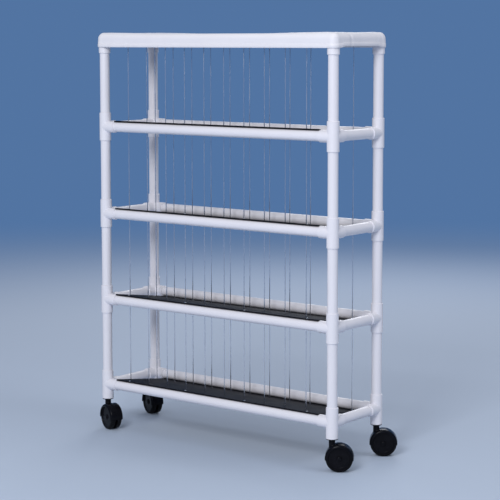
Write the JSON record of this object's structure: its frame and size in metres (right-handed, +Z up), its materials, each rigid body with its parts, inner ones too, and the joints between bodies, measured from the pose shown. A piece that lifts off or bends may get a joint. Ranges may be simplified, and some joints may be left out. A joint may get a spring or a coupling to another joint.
{
  "type": "medical chart rack",
  "caption": "Rolling rack with a white pipe frame on twin-wheel casters, back-tilted shelves split into binder slots by upright rods, and a stretched top cover.",
  "frame": {"origin": "the middle of the rack's outline on the floor", "axes": "+X to the rack's right, +Y from the open front to the rear, +Z up"},
  "size_m": [1.3963, 0.4454, 1.749],
  "materials": {
    "frame_pipe": "white extruded pipe with a soft sheen",
    "frame_fitting": "white moulded fittings with a soft sheen",
    "board": "black sheet, semi-matte",
    "rod": "bright drawn steel rod",
    "fastener": "zinc-plated steel",
    "rod_cap": "black rubber",
    "cover": "white coated fabric, matte",
    "caster_plastic": "black moulded plastic, satin",
    "caster_steel": "zinc-plated steel",
    "wheel": "black moulded wheel with a hard tread"
  },
  "bodies": {
    "rack": {"post_front_left": "frame_pipe", "post_front_right": "frame_pipe", "post_rear_left": "frame_pipe", "post_rear_right": "frame_pipe", "fittings_front_left": "frame_fitting", "fittings_front_right": "frame_fitting", "fittings_rear_left": "frame_fitting", "fittings_rear_right": "frame_fitting", "front_rail_1": "frame_pipe", "front_rail_2": "frame_pipe", "front_rail_3": "frame_pipe", "front_rail_4": "frame_pipe", "front_rail_5": "frame_pipe", "rear_rail_1": "frame_pipe", "rear_rail_2": "frame_pipe", "rear_rail_3": "frame_pipe", "rear_rail_4": "frame_pipe", "rear_rail_5": "frame_pipe", "left_rail_1": "frame_pipe", "left_rail_2": "frame_pipe", "left_rail_3": "frame_pipe", "left_rail_4": "frame_pipe", "left_rail_5": "frame_pipe", "right_rail_1": "frame_pipe", "right_rail_2": "frame_pipe", "right_rail_3": "frame_pipe", "right_rail_4": "frame_pipe", "right_rail_5": "frame_pipe", "shelf_1": "board", "shelf_2": "board", "shelf_3": "board", "shelf_4": "board", "top_board": "board", "rods_front": "rod", "rods_rear": "rod", "rod_nuts": "fastener", "rod_caps": "rod_cap", "board_screws": "fastener", "top_cover": "cover", "caster_stems": "caster_steel", "caster_plug_front_left": "caster_plastic", "caster_plug_front_right": "caster_plastic", "caster_plug_rear_left": "caster_plastic", "caster_plug_rear_right": "caster_plastic"},
    "caster_front_left": {"caster_hood_front_left": "caster_plastic", "caster_axle_front_left": "caster_steel"},
    "wheel_a_front_left": {"wheel_a_front_left": "wheel"},
    "wheel_b_front_left": {"wheel_b_front_left": "wheel"},
    "caster_front_right": {"caster_hood_front_right": "caster_plastic", "caster_axle_front_right": "caster_steel"},
    "wheel_a_front_right": {"wheel_a_front_right": "wheel"},
    "wheel_b_front_right": {"wheel_b_front_right": "wheel"},
    "caster_rear_left": {"caster_hood_rear_left": "caster_plastic", "caster_axle_rear_left": "caster_steel"},
    "wheel_a_rear_left": {"wheel_a_rear_left": "wheel"},
    "wheel_b_rear_left": {"wheel_b_rear_left": "wheel"},
    "caster_rear_right": {"caster_hood_rear_right": "caster_plastic", "caster_axle_rear_right": "caster_steel"},
    "wheel_a_rear_right": {"wheel_a_rear_right": "wheel"},
    "wheel_b_rear_right": {"wheel_b_rear_right": "wheel"}
  },
  "joints": [
    {"name": "swivel_front_left", "type": "hinge", "parent": "rack", "child": "caster_front_left", "pos_m": [-0.6095, -0.159, 0.11], "axis": [0, 0, 1], "continuous": true},
    {"name": "spin_a_front_left", "type": "hinge", "parent": "caster_front_left", "child": "wheel_a_front_left", "pos_m": [-0.58131, -0.16926, 0.055], "axis": [0.342, 0.9397, 0], "continuous": true},
    {"name": "spin_b_front_left", "type": "hinge", "parent": "caster_front_left", "child": "wheel_b_front_left", "pos_m": [-0.58131, -0.16926, 0.055], "axis": [0.342, 0.9397, 0], "continuous": true},
    {"name": "swivel_front_right", "type": "hinge", "parent": "rack", "child": "caster_front_right", "pos_m": [0.6095, -0.159, 0.11], "axis": [0, 0, 1], "continuous": true},
    {"name": "spin_a_front_right", "type": "hinge", "parent": "caster_front_right", "child": "wheel_a_front_right", "pos_m": [0.63494, -0.1431, 0.055], "axis": [-0.5299, 0.848, 0], "continuous": true},
    {"name": "spin_b_front_right", "type": "hinge", "parent": "caster_front_right", "child": "wheel_b_front_right", "pos_m": [0.63494, -0.1431, 0.055], "axis": [-0.5299, 0.848, 0], "continuous": true},
    {"name": "swivel_rear_left", "type": "hinge", "parent": "rack", "child": "caster_rear_left", "pos_m": [-0.6095, 0.159, 0.11], "axis": [0, 0, 1], "continuous": true},
    {"name": "spin_a_rear_left", "type": "hinge", "parent": "caster_rear_left", "child": "wheel_a_rear_left", "pos_m": [-0.63711, 0.17072, 0.055], "axis": [-0.3907, -0.9205, 0], "continuous": true},
    {"name": "spin_b_rear_left", "type": "hinge", "parent": "caster_rear_left", "child": "wheel_b_rear_left", "pos_m": [-0.63711, 0.17072, 0.055], "axis": [-0.3907, -0.9205, 0], "continuous": true},
    {"name": "swivel_rear_right", "type": "hinge", "parent": "rack", "child": "caster_rear_right", "pos_m": [0.6095, 0.159, 0.11], "axis": [0, 0, 1], "continuous": true},
    {"name": "spin_a_rear_right", "type": "hinge", "parent": "caster_rear_right", "child": "wheel_a_rear_right", "pos_m": [0.63437, 0.17578, 0.055], "axis": [-0.5592, 0.829, 0], "continuous": true},
    {"name": "spin_b_rear_right", "type": "hinge", "parent": "caster_rear_right", "child": "wheel_b_rear_right", "pos_m": [0.63437, 0.17578, 0.055], "axis": [-0.5592, 0.829, 0], "continuous": true}
  ]
}
